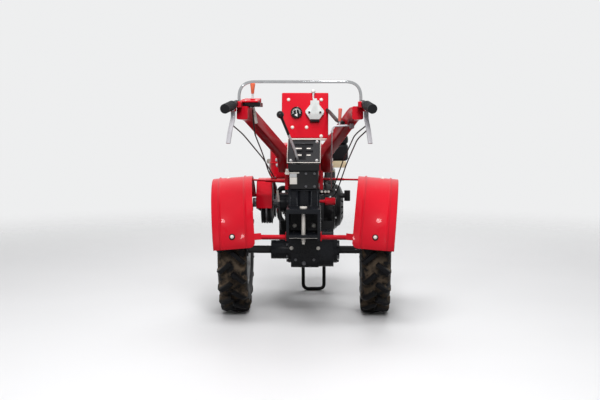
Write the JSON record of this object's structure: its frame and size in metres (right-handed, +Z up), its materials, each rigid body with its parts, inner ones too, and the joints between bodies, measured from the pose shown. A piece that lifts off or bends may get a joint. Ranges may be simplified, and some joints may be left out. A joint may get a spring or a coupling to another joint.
{
  "type": "power tiller",
  "caption": "Walk-behind power tiller with lugged wheels under red fenders, long handle arms with a chrome hoop, belt-driven gearbox, open engine and a fold-down front stand.",
  "frame": {"origin": "on the floor, under the middle of the overall box", "axes": "+Y is the way it drives, +X its right-hand side seen from the handles, +Z up"},
  "size_m": [0.8778, 1.8399, 1.089],
  "materials": {
    "red_paint": "gloss",
    "dark_red_paint": "satin",
    "black_paint": "satin",
    "gear_casting": "satin",
    "grey_casting": "satin",
    "engine_casting": "satin",
    "steel": "satin",
    "chrome": "polished",
    "pulley_iron": "satin",
    "rim_paint": "satin",
    "tyre": "matte",
    "rubber": "matte",
    "black_plastic": "satin",
    "tank_red": "gloss",
    "orange_plastic": "gloss",
    "white_plastic": "gloss"
  },
  "bodies": {
    "chassis": {"frame_rails": "black_paint", "front_bumper": "black_paint", "gearbox_case": "gear_casting", "rear_cover": "gear_casting", "shift_box": "gear_casting", "handle_base": "dark_red_paint", "shift_gate": "steel", "gear_lever": "black_plastic", "dash_panel": "red_paint", "gauge": "black_plastic", "lever_bracket": "grey_casting", "throttle_lever": "white_plastic", "hitch_bracket": "black_paint", "hitch_pin": "steel", "fender_left": "red_paint", "fender_right": "red_paint", "fender_stays_left": "red_paint", "fender_stays_right": "red_paint", "handle_arm_left": "red_paint", "handle_arm_right": "red_paint", "hoop": "chrome", "grip_left": "rubber", "grip_right": "rubber", "hand_lever_left": "steel", "hand_lever_right": "steel", "clutch_quadrant": "red_paint", "clutch_lever": "orange_plastic", "diff_lever": "steel", "pto_lever": "red_paint", "cables": "rubber", "engine_block": "engine_casting", "engine_cylinder": "engine_casting", "fan_housing": "black_plastic", "recoil_cover": "black_plastic", "fuel_tank": "tank_red", "fuel_cap": "black_plastic", "muffler": "engine_casting", "air_cleaner": "black_plastic", "carburettor": "grey_casting", "engine_pulley": "pulley_iron", "gearbox_pulley": "pulley_iron", "drive_belts": "rubber", "belt_guard": "red_paint"},
    "wheel_left": {"tyre_left": "tyre", "rim_left": "rim_paint", "half_shaft_left": "steel"},
    "wheel_right": {"tyre_right": "tyre", "rim_right": "rim_paint", "half_shaft_right": "steel"},
    "stand": {"stand": "black_paint"}
  },
  "joints": [
    {"name": "wheel_left_spin", "type": "hinge", "parent": "chassis", "child": "wheel_left", "pos_m": [-0.32, 0.12, 0.295], "axis": [1, 0, 0], "continuous": true},
    {"name": "wheel_right_spin", "type": "hinge", "parent": "chassis", "child": "wheel_right", "pos_m": [0.32, 0.12, 0.295], "axis": [1, 0, 0], "continuous": true},
    {"name": "stand_fold", "type": "hinge", "parent": "chassis", "child": "stand", "pos_m": [0.029, 0.62, 0.262], "axis": [-1, 0, 0], "range_deg": [0, 100]}
  ]
}
